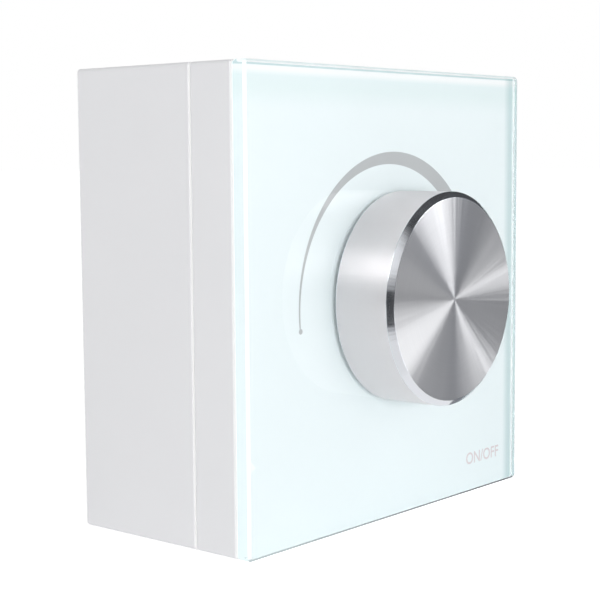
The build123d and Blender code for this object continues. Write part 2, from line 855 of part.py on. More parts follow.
# Case screws: heads at the bottom of the wells, points in the frame's posts
with BuildPart() as case_screws:
    with BuildSketch(layer(well_seat - case_head_height)):
        with GridLocations(post_pitch_x, post_pitch_z, 2, 2):
            Circle(case_head_diameter / 2)
    extrude(amount=case_head_height)
    with BuildSketch(layer(well_seat)):
        with GridLocations(post_pitch_x, post_pitch_z, 2, 2):
            Circle(case_screw_radius)
    extrude(amount=case_screw_length)

case_screws.part.label = "case_screws"
export_step(case_screws.part, "parts/case_screws.step")

# Terminal block: stepped moulding with wire windows below and screw shafts behind
with BuildPart() as terminal_block:
    with BuildSketch(side_layer(terminal_width / 2)):
        with BuildLine():
            Polyline(
                (board_back, terminal_bottom),
                (board_back, terminal_top),
                (terminal_back + terminal_step, terminal_top),
                (terminal_back, terminal_top - terminal_shoulder),
                (terminal_back, terminal_bottom),
                close=True,
            )
        make_face()
    extrude(amount=terminal_width)
    with BuildSketch(underside):
        with Locations((0, wire_axis)):
            with GridLocations(terminal_pitch, 0, terminal_ways, 1):
                Rectangle(wire_window, wire_window)
    extrude(amount=-wire_window_depth, mode=Mode.SUBTRACT)
    with BuildSketch(layer(terminal_back)):
        with Locations((0, clamp_z)):
            with GridLocations(terminal_pitch, 0, terminal_ways, 1):
                Circle(clamp_head_radius + cage_gap)
    extrude(amount=wire_axis - terminal_back, mode=Mode.SUBTRACT)

terminal_block.part.label = "terminal_block"
export_step(terminal_block.part, "parts/terminal_block.step")

# Terminal cages: square tubes that the wires go into, tapped for the clamp screws
cage_size = wire_window - 2 * cage_gap
cage_back = wire_axis - cage_size / 2
with BuildPart() as terminal_cages:
    with BuildSketch(underside.offset(-(wire_window_depth - cage_length))):
        with Locations((0, wire_axis)):
            with GridLocations(terminal_pitch, 0, terminal_ways, 1):
                Rectangle(cage_size, cage_size)
                Rectangle(cage_size - 2 * cage_wall, cage_size - 2 * cage_wall, mode=Mode.SUBTRACT)
    extrude(amount=-cage_length)
    with BuildSketch(layer(cage_back)):
        with Locations((0, clamp_z)):
            with GridLocations(terminal_pitch, 0, terminal_ways, 1):
                Circle(clamp_screw_radius + thread_gap)
    extrude(amount=cage_wall, mode=Mode.SUBTRACT)

terminal_cages.part.label = "terminal_cages"
export_step(terminal_cages.part, "parts/terminal_cages.step")

# Clamp screws with slotted heads, sunk in the block
clamp_head_back = terminal_back + clamp_head_sink
clamp_tip = cage_back + cage_wall + clamp_reach
with BuildPart() as terminal_screws:
    with BuildSketch(layer(clamp_head_back)):
        with Locations((0, clamp_z)):
            with GridLocations(terminal_pitch, 0, terminal_ways, 1):
                Circle(clamp_head_radius)
    extrude(amount=clamp_head_height)
    with BuildSketch(layer(clamp_head_back)):
        with Locations((0, clamp_z)):
            with GridLocations(terminal_pitch, 0, terminal_ways, 1):
                Circle(clamp_screw_radius)
    extrude(amount=clamp_tip - clamp_head_back)
    with BuildSketch(layer(clamp_head_back)):
        with Locations((0, clamp_z)):
            with GridLocations(terminal_pitch, 0, terminal_ways, 1):
                Rectangle(clamp_slot_width, 2 * clamp_head_radius)
    extrude(amount=clamp_slot_depth, mode=Mode.SUBTRACT)

terminal_screws.part.label = "terminal_screws"
export_step(terminal_screws.part, "parts/terminal_screws.step")

# Film capacitor in a box with rounded edges
with BuildPart() as film_capacitor:
    with BuildSketch(layer(board_back)):
        with Locations(film_place):
            RectangleRounded(film_length, film_width, film_round)
    extrude(amount=-film_height)
    fillet(film_capacitor.edges().group_by(Axis.Y)[-1], film_round)

film_capacitor.part.label = "film_capacitor"
export_step(film_capacitor.part, "parts/film_capacitor.step")

# Storage capacitor: a can with a crimp groove near the board
with BuildPart() as storage_capacitor:
    with BuildSketch(layer(board_back)):
        with Locations(can_place):
            Circle(can_diameter / 2)
    extrude(amount=-can_height)
    fillet(storage_capacitor.edges().group_by(Axis.Y)[-1], can_round)
    with BuildSketch(layer(board_back - can_groove_height)):
        with Locations(can_place):
            Circle(can_diameter / 2)
            Circle(can_diameter / 2 - can_groove, mode=Mode.SUBTRACT)
    extrude(amount=-2 * can_groove, mode=Mode.SUBTRACT)

storage_capacitor.part.label = "storage_capacitor"
export_step(storage_capacitor.part, "parts/storage_capacitor.step")

# Choke: a drum core, and the winding between its flanges
winding_height = choke_height - 2 * (choke_flange + choke_winding_gap)
with BuildPart() as choke_core:
    with BuildSketch(layer(board_back)):
        with Locations(choke_place):
            Circle(choke_diameter / 2)
    extrude(amount=-choke_height)
    with BuildSketch(layer(board_back - choke_flange)):
        with Locations(choke_place):
            Circle(choke_diameter / 2)
            Circle(choke_core_diameter / 2, mode=Mode.SUBTRACT)
    extrude(amount=2 * choke_flange - choke_height, mode=Mode.SUBTRACT)

choke_core.part.label = "choke_core"
export_step(choke_core.part, "parts/choke_core.step")

with BuildPart() as choke_winding:
    with BuildSketch(layer(board_back - choke_flange - choke_winding_gap)):
        with Locations(choke_place):
            Circle(choke_diameter / 2 - choke_winding_inset)
            Circle(choke_core_diameter / 2 + choke_winding_gap, mode=Mode.SUBTRACT)
    extrude(amount=-winding_height)

choke_winding.part.label = "choke_winding"
export_step(choke_winding.part, "parts/choke_winding.step")

# Fuse in a small upright housing
with BuildPart() as fuse:
    with BuildSketch(layer(board_back)):
        with Locations(fuse_place):
            RectangleRounded(fuse_length, fuse_width, fuse_round)
    extrude(amount=-fuse_height)
    fillet(fuse.edges().group_by(Axis.Y)[-1], fuse_round / 2)

fuse.part.label = "fuse"
export_step(fuse.part, "parts/fuse.step")

# Power transistors lying on the board: body, tab above it and two leads below
with BuildPart() as power_transistors:
    with BuildSketch(layer(board_back)):
        with Locations((0, transistor_rise)):
            with GridLocations(transistor_pitch, 0, 2, 1):
                Rectangle(transistor_width, transistor_length)
    extrude(amount=-transistor_height)
    with BuildSketch(layer(board_back)):
        with Locations((0, transistor_rise + (transistor_length + transistor_tab_reach) / 2)):
            with GridLocations(transistor_pitch, 0, 2, 1):
                Rectangle(transistor_width, transistor_tab_reach)
        with Locations((0, transistor_rise - (transistor_length + transistor_lead_reach) / 2)):
            with GridLocations(transistor_pitch, 0, 2, 1):
                with GridLocations(transistor_lead_spread, 0, 2, 1):
                    Rectangle(transistor_lead, transistor_lead_reach)
    extrude(amount=-transistor_tab)

power_transistors.part.label = "power_transistors"
export_step(power_transistors.part, "parts/power_transistors.step")

# Heat spreader: a folded sheet over the transistors, with its legs on the board
with BuildPart() as heat_spreader:
    spreader_height = transistor_height + spreader_sheet
    with BuildSketch(layer(board_back)):
        with Locations((0, transistor_rise)):
            Rectangle(spreader_width, spreader_depth)
    extrude(amount=-spreader_height)
    folds = heat_spreader.edges().filter_by(Axis.Z).group_by(Axis.Y)[-1]
    fillet(folds, spreader_bend)
    with BuildSketch(layer(board_back)):
        with Locations((0, transistor_rise)):
            Rectangle(spreader_width - 2 * spreader_sheet, spreader_depth)
    extrude(amount=-transistor_height, mode=Mode.SUBTRACT)

heat_spreader.part.label = "heat_spreader"
export_step(heat_spreader.part, "parts/heat_spreader.step")

# Radio module on the front of the board: its own small board, and a shield can
radio_z = encoder_size / 2 + radio_gap + radio_length / 2
with BuildPart() as radio_board:
    with BuildSketch(layer(board_front)):
        with Locations((0, radio_z)):
            Rectangle(radio_width, radio_length)
    extrude(amount=radio_thickness)

radio_board.part.label = "radio_board"
export_step(radio_board.part, "parts/radio_board.step")

with BuildPart() as radio_shield:
    shield_z = radio_z - radio_length / 2 + shield_margin + shield_length / 2
    with BuildSketch(layer(board_front + radio_thickness)):
        with Locations((0, shield_z)):
            Rectangle(shield_width, shield_length)
    extrude(amount=shield_height)
    fillet(radio_shield.edges().group_by(Axis.Y)[0], shield_round)

radio_shield.part.label = "radio_shield"
export_step(radio_shield.part, "parts/radio_shield.step")

# Controller chip below the encoder
with BuildPart() as controller_chip:
    with BuildSketch(layer(board_front)):
        with Locations((0, -(encoder_size + chip_size) / 2 - chip_gap)):
            Rectangle(chip_size, chip_size)
    extrude(amount=chip_height)
    chamfer(controller_chip.edges().group_by(Axis.Y)[0], chip_chamfer)

controller_chip.part.label = "controller_chip"
export_step(controller_chip.part, "parts/controller_chip.step")
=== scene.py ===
import json
import math

import bpy
import numpy as np
from mathutils import Matrix, Vector


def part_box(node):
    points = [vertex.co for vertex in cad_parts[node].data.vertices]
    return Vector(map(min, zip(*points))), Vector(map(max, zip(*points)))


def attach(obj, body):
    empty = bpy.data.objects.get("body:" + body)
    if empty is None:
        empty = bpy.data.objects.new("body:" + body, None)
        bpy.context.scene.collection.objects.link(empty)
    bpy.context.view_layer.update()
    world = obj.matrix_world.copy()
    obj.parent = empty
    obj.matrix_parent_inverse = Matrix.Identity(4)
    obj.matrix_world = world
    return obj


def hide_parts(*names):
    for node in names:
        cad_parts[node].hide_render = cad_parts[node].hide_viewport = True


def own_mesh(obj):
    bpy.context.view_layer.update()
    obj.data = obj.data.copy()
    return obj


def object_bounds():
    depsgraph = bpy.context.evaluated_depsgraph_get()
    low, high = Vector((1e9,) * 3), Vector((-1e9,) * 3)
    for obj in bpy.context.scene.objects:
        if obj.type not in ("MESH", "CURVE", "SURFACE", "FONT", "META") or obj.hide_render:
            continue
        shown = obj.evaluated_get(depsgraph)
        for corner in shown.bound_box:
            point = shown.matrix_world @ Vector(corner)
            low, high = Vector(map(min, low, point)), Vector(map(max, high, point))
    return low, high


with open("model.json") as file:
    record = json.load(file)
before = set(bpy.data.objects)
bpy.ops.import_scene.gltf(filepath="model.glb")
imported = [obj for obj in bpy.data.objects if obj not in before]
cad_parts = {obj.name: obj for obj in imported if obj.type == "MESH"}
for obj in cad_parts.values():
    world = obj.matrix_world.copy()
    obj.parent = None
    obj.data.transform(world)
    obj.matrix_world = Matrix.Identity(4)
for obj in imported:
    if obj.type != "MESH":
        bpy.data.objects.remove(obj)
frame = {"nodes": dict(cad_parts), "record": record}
cad_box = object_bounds()

# Numbers of the X and Z axes
right_axis, up_axis = 0, 2

# Sizes in metres; the frame gives the rest
MM = 0.001
tiny = 1e-9
glass_arris = 0.5 * MM
glass_back_arris = 0.15 * MM
glass_corner = 0.8 * MM
glass_hole = 4.0 * MM
print_sink = 0.03 * MM
knob_wall = 2.0 * MM
knob_bevel_width = 1.1 * MM
knob_bevel_depth = 1.0 * MM
knob_back_round = 0.25 * MM
knob_edge = 0.07 * MM
knob_middle = 0.2 * MM
turning_length = 0.1
dome_crown = 0.8 * MM
dome_sheet = 0.1 * MM
dome_rim = 0.3 * MM
legend_height = 2.35 * MM
legend_right = 37.9 * MM
legend_base = -37.5 * MM
legend_ink = 0.02 * MM
legend_weight = 0.04 * MM

# Height of capital letters as a share of the font's size
capital_share = 0.69

# Points along a side and round a corner of the glass, round a turned piece, and along a softened edge
side_points = 48
corner_points = 9
knob_columns = 720
dome_columns = 48
edge_steps = 7

# Decimals kept in a UV map
uv_digits = 6

# Largest angle in degrees between faces that are shaded as one surface
piece_smooth = 30.0
glass_smooth = 20.0
knob_smooth = 60.0

# The usual range of a noise, and how far roughness strays from its middle value
noise_range = (0.3, 0.7)
moulded_spread = 0.05
turned_spread = 0.015
smear_spread = 0.02

# Scales of noises: slow patches and smears per metre, and the lathe's chatter with its slope
patch_scale = 60.0
smear_scale = 45.0
chatter_scale = 12.0
chatter_slope = 0.002

# Turn of the gloss across the lathe marks, the glass's refraction and gloss, and the foam's painted glow
quarter_turn = 0.25
glass_bend = 1.5
glass_gloss = 0.2
foam_painted_glow = 0.05

# Painted light and shade on the print and on the ground edge, by the distance in mm from the panel's right or
# top edge
white, body_tone, painted_line_tone = (1, 1, 1), (0.91, 0.963, 0.975), (0.62, 0.74, 0.75)
shade_tone, arris_shade_tone = (0.70, 0.78, 0.78), (0.82, 0.89, 0.90)
# Print along the right edge: a painted shade band a little in from the edge
print_right_painted_shade = [(3.6, white), (1.6, shade_tone), (0.55, shade_tone), (0.4, white), (0, white)]
# Print along the top: painted shade, then a painted bright band under the edge and a thin dark painted line
# nearer the edge
print_top_painted_light_and_shade = [
    (8.0, body_tone), (4.4, (0.84, 0.92, 0.92)), (2.5, (0.85, 0.925, 0.93)), (1.5, white),
    (0.85, white), (0.75, painted_line_tone), (0.5, painted_line_tone), (0.4, white), (0, white),
]
# Ground edge: painted shade where the floor closes it in, darker towards the right
arris_occlusion_shade = [(86, (0.4, 0.44, 0.45)), (40, (0.15, 0.15, 0.16)), (0, (0.01, 0.01, 0.012))]
# Ground edge along the top: painted shade on its outer half
arris_top_painted_shade = [(0.45, white), (0.25, arris_shade_tone), (0, arris_shade_tone)]
# Reach and samples of the occlusion behind the painted shade on the ground edge
occlusion_shade_reach = 2 * MM
occlusion_shade_samples = 8

# The photograph's camera: place, turns in degrees, and focal length in picture widths
camera_place = (-0.22323, -0.20575, 0.02659)
camera_yaw = 49.819
camera_pitch = 5.653
camera_roll = -0.418
camera_focal = 1448.1 / 600
camera_sensor = 36.0
camera_near = 0.01

# Stage: the floor's half width, paint and glow, the soft light, and the cooler tint of faint cards
floor_reach = 6.0
floor_paint = (0.8, 0.8, 0.8)
floor_glow = 0.15
floor_seen_glow = 0.65
ambient = 0.56
faint, cool = 0.6, (0.94, 0.965, 1.03)
sharp = (0, 0, 0, 0)


# Meshes

def new_object(name, data):
    """An object at the origin that holds the data, linked to the scene."""
    made = bpy.data.objects.new(name, data)
    bpy.context.scene.collection.objects.link(made)
    return made


def quads(rows, columns, closed):
    """Corner numbers of a grid's quads, closed round its columns, and round its rows if closed."""
    i = np.arange(rows if closed else rows - 1)[:, None]
    j = np.arange(columns)[None, :]
    i_next, j_next = (i + 1) % rows, (j + 1) % columns
    corners = [i * columns + j, i * columns + j_next, i_next * columns + j_next, i_next * columns + j]
    return np.stack(corners, axis=-1).reshape(-1, 4)


def soften(points, reach, steps):
    """Each corner becomes a quadratic curve between the two points at its reach along its edges."""
    points = np.asarray(points, float)
    reach = np.asarray(reach, float)[:, None]
    before = np.roll(points, 1, axis=0) - points
    after = np.roll(points, -1, axis=0) - points
    start = points + reach * before / np.linalg.norm(before, axis=1, keepdims=True)
    end = points + reach * after / np.linalg.norm(after, axis=1, keepdims=True)
    t = np.linspace(0, 1, steps)[None, :, None]
    curve = (1 - t) ** 2 * start[:, None] + 2 * t * (1 - t) * points[:, None] + t**2 * end[:, None]
    keep = np.ones((len(points), steps), bool)
    keep[reach[:, 0] == 0, 1:] = False
    return curve[keep]


def new_piece(name, points, faces, body, skins, skin_of_face=None, smooth=piece_smooth):
    """A mesh piece at the origin that rides on a body, with its finishes, or skins, face by face."""
    mesh = bpy.data.meshes.new(name)
    mesh.from_pydata(np.asarray(points).tolist(), [], [list(f) for f in faces])
    for skin in skins:
        mesh.materials.append(skin)
    if skin_of_face is not None:
        mesh.polygons.foreach_set("material_index", np.asarray(skin_of_face, np.int32))
    mesh.polygons.foreach_set("use_smooth", np.ones(len(mesh.polygons), bool))
    mesh.set_sharp_from_angle(angle=math.radians(smooth))
    mesh.update()
    piece = new_object(name, mesh)
    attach(piece, body)
    return piece


def revolve(profile, columns):
    """A profile of (radius, y) rows turned round the Y axis, with a single point at each end.

    Point (i, j) is (radius_i cos a_j, y_i, radius_i sin a_j), and a_j goes evenly once round.
    Returns the points, the faces, and the profile row that each face starts from.
    """
    ring = np.asarray(profile, float)[1:-1]
    angle = 2 * np.pi * np.arange(columns) / columns
    radius, y = ring[:, :1], ring[:, 1:]
    grid = np.stack([radius * np.cos(angle), y + 0 * angle, radius * np.sin(angle)], axis=-1)
    poles = np.array([[0, profile[0][1], 0], [0, profile[-1][1], 0]])
    points = np.concatenate([grid.reshape(-1, 3), poles])
    body = quads(len(ring), columns, False)
    j = np.arange(columns)
    j_next = (j + 1) % columns
    first, last = len(points) - 2, len(points) - 1
    base = (len(ring) - 1) * columns
    start_fan = np.stack([j_next, j, 0 * j + first], axis=1)
    end_fan = np.stack([base + j, base + j_next, 0 * j + last], axis=1)
    faces = body.tolist() + start_fan.tolist() + end_fan.tolist()
    rows = np.concatenate([np.repeat(np.arange(len(ring) - 1), columns) + 1, 0 * j, 0 * j + len(ring)])
    return points, faces, rows


def turning_map(mesh, name):
    """UV map of a turned piece: u is the share of a turn round the Y axis, and v the radius less y.

    The angle is taken near each face's own middle, so no face crosses the seam.
    """
    corner = np.empty(len(mesh.loops), np.int32)
    mesh.loops.foreach_get("vertex_index", corner)
    points = np.empty(len(mesh.vertices) * 3)
    mesh.vertices.foreach_get("co", points)
    place = points.reshape(-1, 3)[corner]
    sizes = np.empty(len(mesh.polygons), np.int32)
    mesh.polygons.foreach_get("loop_total", sizes)
    middle = np.empty(len(mesh.polygons) * 3)
    mesh.polygons.foreach_get("center", middle)
    middle = np.repeat(middle.reshape(-1, 3), sizes, axis=0)
    about = np.arctan2(middle[:, 2], middle[:, 0])
    radius = np.hypot(place[:, 0], place[:, 2])
    turn = np.arctan2(place[:, 2], place[:, 0]) - about
    turn = (turn + np.pi) % (2 * np.pi) - np.pi
    turn[radius < tiny] = 0
    layer = mesh.uv_layers.new(name=name)
    uv = np.stack([(about + turn) / (2 * np.pi), (radius - place[:, 1]) / turning_length], axis=1)
    layer.data.foreach_set("uv", np.round(uv, uv_digits).astype(np.float32).ravel())


# Node helpers; colours are given without alpha

def fill(tree, node, pins):
    """Sets each input pin of a node, given by name or number, to a value or links it to a socket."""
    for pin, value in pins.items():
        socket = node.inputs[pin]
        if isinstance(value, bpy.types.NodeSocket):
            tree.links.new(value, socket)
        elif socket.type == "RGBA":
            socket.default_value = (*value, 1)
        else:
            socket.default_value = value


def put(tree, kind, pins=None, **settings):
    """Adds a node with its settings, then fills its input pins."""
    made = tree.nodes.new("ShaderNode" + kind)
    for name, value in settings.items():
        setattr(made, name, value)
    fill(tree, made, pins or {})
    return made


def maths(tree, operation, *values):
    """The result of a Math node on values or sockets."""
    return put(tree, "Math", dict(enumerate(values)), operation=operation).outputs[0]


def mapped(tree, value, start, end, low=0, high=1, way="LINEAR"):
    """A value that goes from low to high as another goes from start to end."""
    pins = {"Value": value, "From Min": start, "From Max": end, "To Min": low, "To Max": high}
    return put(tree, "MapRange", pins, interpolation_type=way).outputs["Result"]


def spread(tree, fac, low, high):
    """A value that goes from low to high as a noise goes through its usual range."""
    return mapped(tree, fac, *noise_range, low, high)


def blend_colours(tree, fac, low, high):
    """A colour that goes from low to high with a factor; each is a colour or a socket."""
    return put(tree, "Mix", {"Factor": fac, "A": low, "B": high}, data_type="RGBA").outputs["Result"]


def own_place(tree):
    """The point in the piece's own coordinates."""
    return put(tree, "TexCoord").outputs["Object"]


def own_axis(tree, axis):
    """One of the piece's own coordinates, by the number of its axis."""
    return put(tree, "SeparateXYZ", {"Vector": own_place(tree)}).outputs[axis]


def new_group(name, inputs, outputs):
    """An empty shader node group with named float or vector sockets, and its two end nodes."""
    group = bpy.data.node_groups.new(name, "ShaderNodeTree")
    for way, sockets in (("INPUT", inputs), ("OUTPUT", outputs)):
        for socket, kind in sockets.items():
            group.interface.new_socket(socket, in_out=way, socket_type="NodeSocket" + kind)
    return group, group.nodes.new("NodeGroupInput"), group.nodes.new("NodeGroupOutput")


def noise(tree, place, scale, detail):
    """The value of a noise at a place."""
    return put(tree, "TexNoise", {"Vector": place, "Scale": scale, "Detail": detail}).outputs["Fac"]


def moulded_grain():
    """Fine pimples of a moulded skin, and slow patches where the mould let go differently."""
    group, given, result = new_group(
        "moulded grain",
        {"Place": "Vector", "Grain": "Float", "Patch": "Float"},
        {"Height": "Float", "Tone": "Float"},
    )
    place = given.outputs["Place"]
    grain = noise(group, place, given.outputs["Grain"], detail=3.0)
    patch = noise(group, place, given.outputs["Patch"], detail=2.0)
    fill(group, result, {"Height": grain, "Tone": patch})
    return group


def turned_marks():
    """Tool marks of a lathe: noise along the radius and the axis, and faint chatter round the turn."""
    group, given, result = new_group(
        "turned marks",
        {"Place": "Vector", "Pitch": "Float", "Chatter": "Float"},
        {"Height": "Float", "Tone": "Float", "Radius": "Float"},
    )
    parts = put(group, "SeparateXYZ", {"Vector": given.outputs["Place"]})
    flat = put(group, "CombineXYZ", {"X": parts.outputs["X"], "Z": parts.outputs["Z"]})
    radius = put(group, "VectorMath", {0: flat.outputs[0]}, operation="LENGTH").outputs["Value"]
    lathe = put(group, "CombineXYZ", {"X": radius, "Y": parts.outputs["Y"]})
    unit = put(group, "VectorMath", {0: flat.outputs[0]}, operation="NORMALIZE")
    marks = noise(group, lathe.outputs[0], given.outputs["Pitch"], detail=4.0)
    waves = noise(group, unit.outputs[0], given.outputs["Chatter"], detail=2.0)
    fill(group, result, {"Height": marks, "Tone": waves, "Radius": radius})
    return group


grain_group = moulded_grain()
turned_group = turned_marks()


# Finishes

def bare_finish(name):
    """A material with an empty node tree; returns both."""
    finish = bpy.data.materials.new(name)
    finish.use_nodes = True
    finish.node_tree.nodes.clear()
    return finish, finish.node_tree


def new_finish(name):
    """A material with a Principled shader on its output; returns it, its tree and the shader."""
    finish, tree = bare_finish(name)
    shader = put(tree, "BsdfPrincipled")
    put(tree, "OutputMaterial", {"Surface": shader.outputs["BSDF"]})
    return finish, tree, shader


def moulded(name, low, high, rough, grain, depth, patch=patch_scale, metal=0.0):
    """A moulded or rolled finish: two near colours in patches, with a fine grain in relief."""
    finish, tree, shader = new_finish(name)
    pins = {"Place": own_place(tree), "Grain": grain, "Patch": patch}
    made = put(tree, "Group", pins, node_tree=grain_group)
    tone = made.outputs["Tone"]
    bump = put(tree, "Bump", {"Height": made.outputs["Height"], "Distance": depth, "Strength": 1.0})
    fill(tree, shader, {
        "Base Color": blend_colours(tree, tone, low, high),
        "Roughness": spread(tree, tone, rough - moulded_spread, rough + moulded_spread),
        "Metallic": metal,
        "Normal": bump.outputs["Normal"],
    })
    return finish


def turned(name, low, high, rough, pitch, depth, stretch, lean=0.0):
    """A turned metal finish: lathe marks in relief, and a gloss stretched across them.

    The marks lean outwards by a slope, as the tool's feed leaves them, and chatter makes faint
    radial streaks.
    """
    finish, tree, shader = new_finish(name)
    pins = {"Place": own_place(tree), "Pitch": pitch, "Chatter": chatter_scale}
    made = put(tree, "Group", pins, node_tree=turned_group)
    tone = made.outputs["Tone"]
    fine = maths(tree, "MULTIPLY", made.outputs["Height"], depth)
    slope = maths(tree, "MULTIPLY_ADD", tone, chatter_slope, -lean)
    leaning = maths(tree, "MULTIPLY_ADD", made.outputs["Radius"], slope, fine)
    bump = put(tree, "Bump", {"Height": leaning, "Distance": 1.0, "Strength": 1.0})
    tangent = put(tree, "Tangent", direction_type="UV_MAP", uv_map="turning")
    fill(tree, shader, {
        "Base Color": blend_colours(tree, made.outputs["Height"], low, high),
        "Roughness": spread(tree, tone, rough - turned_spread, rough + turned_spread),
        "Metallic": 1.0,
        "Anisotropic": stretch,
        "Anisotropic Rotation": quarter_turn,
        "Tangent": tangent.outputs["Tangent"],
        "Normal": bump.outputs["Normal"],
    })
    return finish


def glass(name, tint, rough, clearness=1.0):
    """Glass with a slight tint and faint smears in its gloss; ground glass is less clear.

    Light for the print behind it passes straight through.
    """
    finish, tree, shader = new_finish(name)
    smears = noise(tree, own_place(tree), smear_scale, detail=3.0)
    fill(tree, shader, {
        "Base Color": tint,
        "Roughness": spread(tree, smears, rough, rough + smear_spread),
        "Transmission Weight": clearness,
        "IOR": glass_bend,
        "Specular IOR Level": glass_gloss,
    })
    path = put(tree, "LightPath")
    lit = maths(tree, "MAXIMUM", path.outputs["Is Shadow Ray"], path.outputs["Is Diffuse Ray"])
    clear = put(tree, "BsdfTransparent", {"Color": tint})
    both = put(tree, "MixShader", {0: lit, 1: shader.outputs["BSDF"], 2: clear.outputs["BSDF"]})
    fill(tree, tree.nodes["Material Output"], {"Surface": both.outputs[0]})
    return finish


def painted_edge_tones(tree, axis, stops):
    """Painted light and shade near the panel's edges: a colour that follows one axis through stops of
    (distance in from the panel's edge in mm, colour).
    """
    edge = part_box("glass_panel")[1][axis]
    first, last = (edge - stops[i][0] * MM for i in (0, -1))
    ramp = put(tree, "ValToRGB", {"Fac": mapped(tree, own_axis(tree, axis), first, last)})
    band = ramp.color_ramp
    for distance, colour in stops[1:-1]:
        band.elements.new((edge - distance * MM - first) / (last - first)).color = (*colour, 1)
    band.elements[0].color = (*stops[0][1], 1)
    band.elements[-1].color = (*stops[-1][1], 1)
    return ramp.outputs["Color"]


def painted_occlusion_shade(tree, axis, stops, reach):
    """Painted shade from occlusion: white where a surface is open, and tones along an axis where others close
    it in within a reach.
    """
    openness = put(tree, "AmbientOcclusion", {"Distance": reach}, samples=occlusion_shade_samples)
    fac = spread(tree, openness.outputs["AO"], 0, 1)
    return blend_colours(tree, fac, painted_edge_tones(tree, axis, stops), white)


def multiply_base(finish, tones, *details):
    """Multiplies a finish's base colour by tones, made in its tree by a function from the details."""
    tree = finish.node_tree
    pin = tree.nodes["Principled BSDF"].inputs["Base Color"]
    pins = {"Factor": 1.0, "B": tones(tree, *details)}
    both = put(tree, "Mix", pins, data_type="RGBA", blend_type="MULTIPLY")
    if pin.is_linked:
        tree.links.new(pin.links[0].from_socket, both.inputs["A"])
    else:
        both.inputs["A"].default_value = pin.default_value
    tree.links.new(both.outputs["Result"], pin)


# Finishes by material slot, and a few that only pieces made here use
# Moulded or rolled: two colours, roughness, grain per metre, its depth, patches per metre, metal or not
moulded_rows = {
    "white_plastic": ((0.842, 0.846, 0.866), (0.87, 0.873, 0.89), 0.42, 2600, 2e-6),
    "white_print": ((0.985, 0.95, 0.945), (1.0, 0.965, 0.96), 0.5, 4000, 5e-7),
    "grey_print": ((0.505, 0.49, 0.495), (0.54, 0.523, 0.528), 0.5, 4000, 5e-7),
    "legend_ink": ((0.75, 0.645, 0.655), (0.79, 0.665, 0.675), 0.5, 4000, 5e-7),
    "white_foam": ((0.97, 0.975, 0.975), (0.99, 0.99, 0.99), 0.5, 1800, 3e-6),
    "grey_fibre": ((0.22, 0.22, 0.23), (0.32, 0.31, 0.31), 0.75, 2500, 1e-5, 900),
    "plated_steel": ((0.55, 0.56, 0.58), (0.68, 0.69, 0.70), 0.3, 1500, 1e-6, 200, 1.0),
    "spring_steel": ((0.42, 0.43, 0.45), (0.52, 0.53, 0.55), 0.25, 3000, 5e-7, 300, 1.0),
    "turned_brass": ((0.70, 0.50, 0.22), (0.80, 0.60, 0.30), 0.28, 2500, 1e-6, 400, 1.0),
    "black_plastic": ((0.02, 0.02, 0.022), (0.035, 0.035, 0.037), 0.45, 2600, 3e-6),
    "natural_plastic": ((0.70, 0.68, 0.62), (0.76, 0.74, 0.68), 0.4, 2600, 2e-6),
    "green_terminal": ((0.02, 0.22, 0.10), (0.03, 0.30, 0.14), 0.4, 2600, 3e-6),
    "board_laminate": ((0.01, 0.10, 0.05), (0.02, 0.17, 0.08), 0.35, 1200, 6e-6, 700),
    "yellow_case": ((0.75, 0.52, 0.06), (0.82, 0.60, 0.10), 0.35, 2200, 2e-6),
    "dark_sleeve": ((0.02, 0.025, 0.05), (0.03, 0.035, 0.07), 0.3, 1500, 1e-6),
    "ferrite": ((0.05, 0.05, 0.052), (0.09, 0.088, 0.085), 0.6, 3000, 6e-6, 1500),
    "copper_wire": ((0.60, 0.22, 0.10), (0.74, 0.32, 0.16), 0.3, 3500, 6e-6, 800, 1.0),
    "plain_aluminium": ((0.68, 0.69, 0.70), (0.78, 0.79, 0.80), 0.35, 1800, 2e-6, 300, 1.0),
}
# Turned: two colours, roughness, marks per metre and their depth, stretch of the gloss, lean
turned_rows = {
    "spun_aluminium": ((0.745, 0.75, 0.768), (0.805, 0.81, 0.828), 0.30, 5200, 4e-7, 1.0, 0.12),
    "turned_side": ((0.73, 0.697, 0.706), (0.767, 0.732, 0.744), 0.36, 5200, 4e-7, 0.8),
    "cut_bevel": ((0.72, 0.74, 0.78), (0.77, 0.79, 0.83), 0.15, 9000, 1e-7, 0.6),
}
# Glass: tint, roughness, and how clear it is where that is not fully
glass_rows = {
    "clear_glass": ((0.935, 0.985, 0.995), 0.0),
    "ground_glass_edge": ((0.97, 1.0, 1.0), 0.5, 0.35),
    "glass_side": ((0.84, 0.93, 0.945), 0.0),
    "hidden_glass_edge": ((0.97, 1.0, 1.0), 0.5, 0.0),
}
finishes = {}
for maker, rows in ((moulded, moulded_rows), (turned, turned_rows), (glass, glass_rows)):
    for name, row in rows.items():
        finishes[name] = maker(name.replace("_", " "), *row)

# The white foam glows faintly: painted light that brightens the thin seam lines, though the foam is no lamp
foam_tree = finishes["white_foam"].node_tree
foam_pins = {"Emission Color": white, "Emission Strength": foam_painted_glow}
fill(foam_tree, foam_tree.nodes["Principled BSDF"], foam_pins)
# Painted shade on the ground edge where the floor closes it in, and on the outer half of its top
multiply_base(finishes["ground_glass_edge"], painted_occlusion_shade, right_axis, arris_occlusion_shade, occlusion_shade_reach)
multiply_base(finishes["ground_glass_edge"], painted_edge_tones, up_axis, arris_top_painted_shade)
# Painted shade, a painted bright band and a dark painted line on the print near the panel's right and top
# edges
multiply_base(finishes["white_print"], painted_edge_tones, right_axis, print_right_painted_shade)
multiply_base(finishes["white_print"], painted_edge_tones, up_axis, print_top_painted_light_and_shade)

for row in frame["record"]["subparts"]:
    for held in frame["nodes"][row["node"]].material_slots:
        held.material = finishes[row["material_slot"]]


# Glass panel

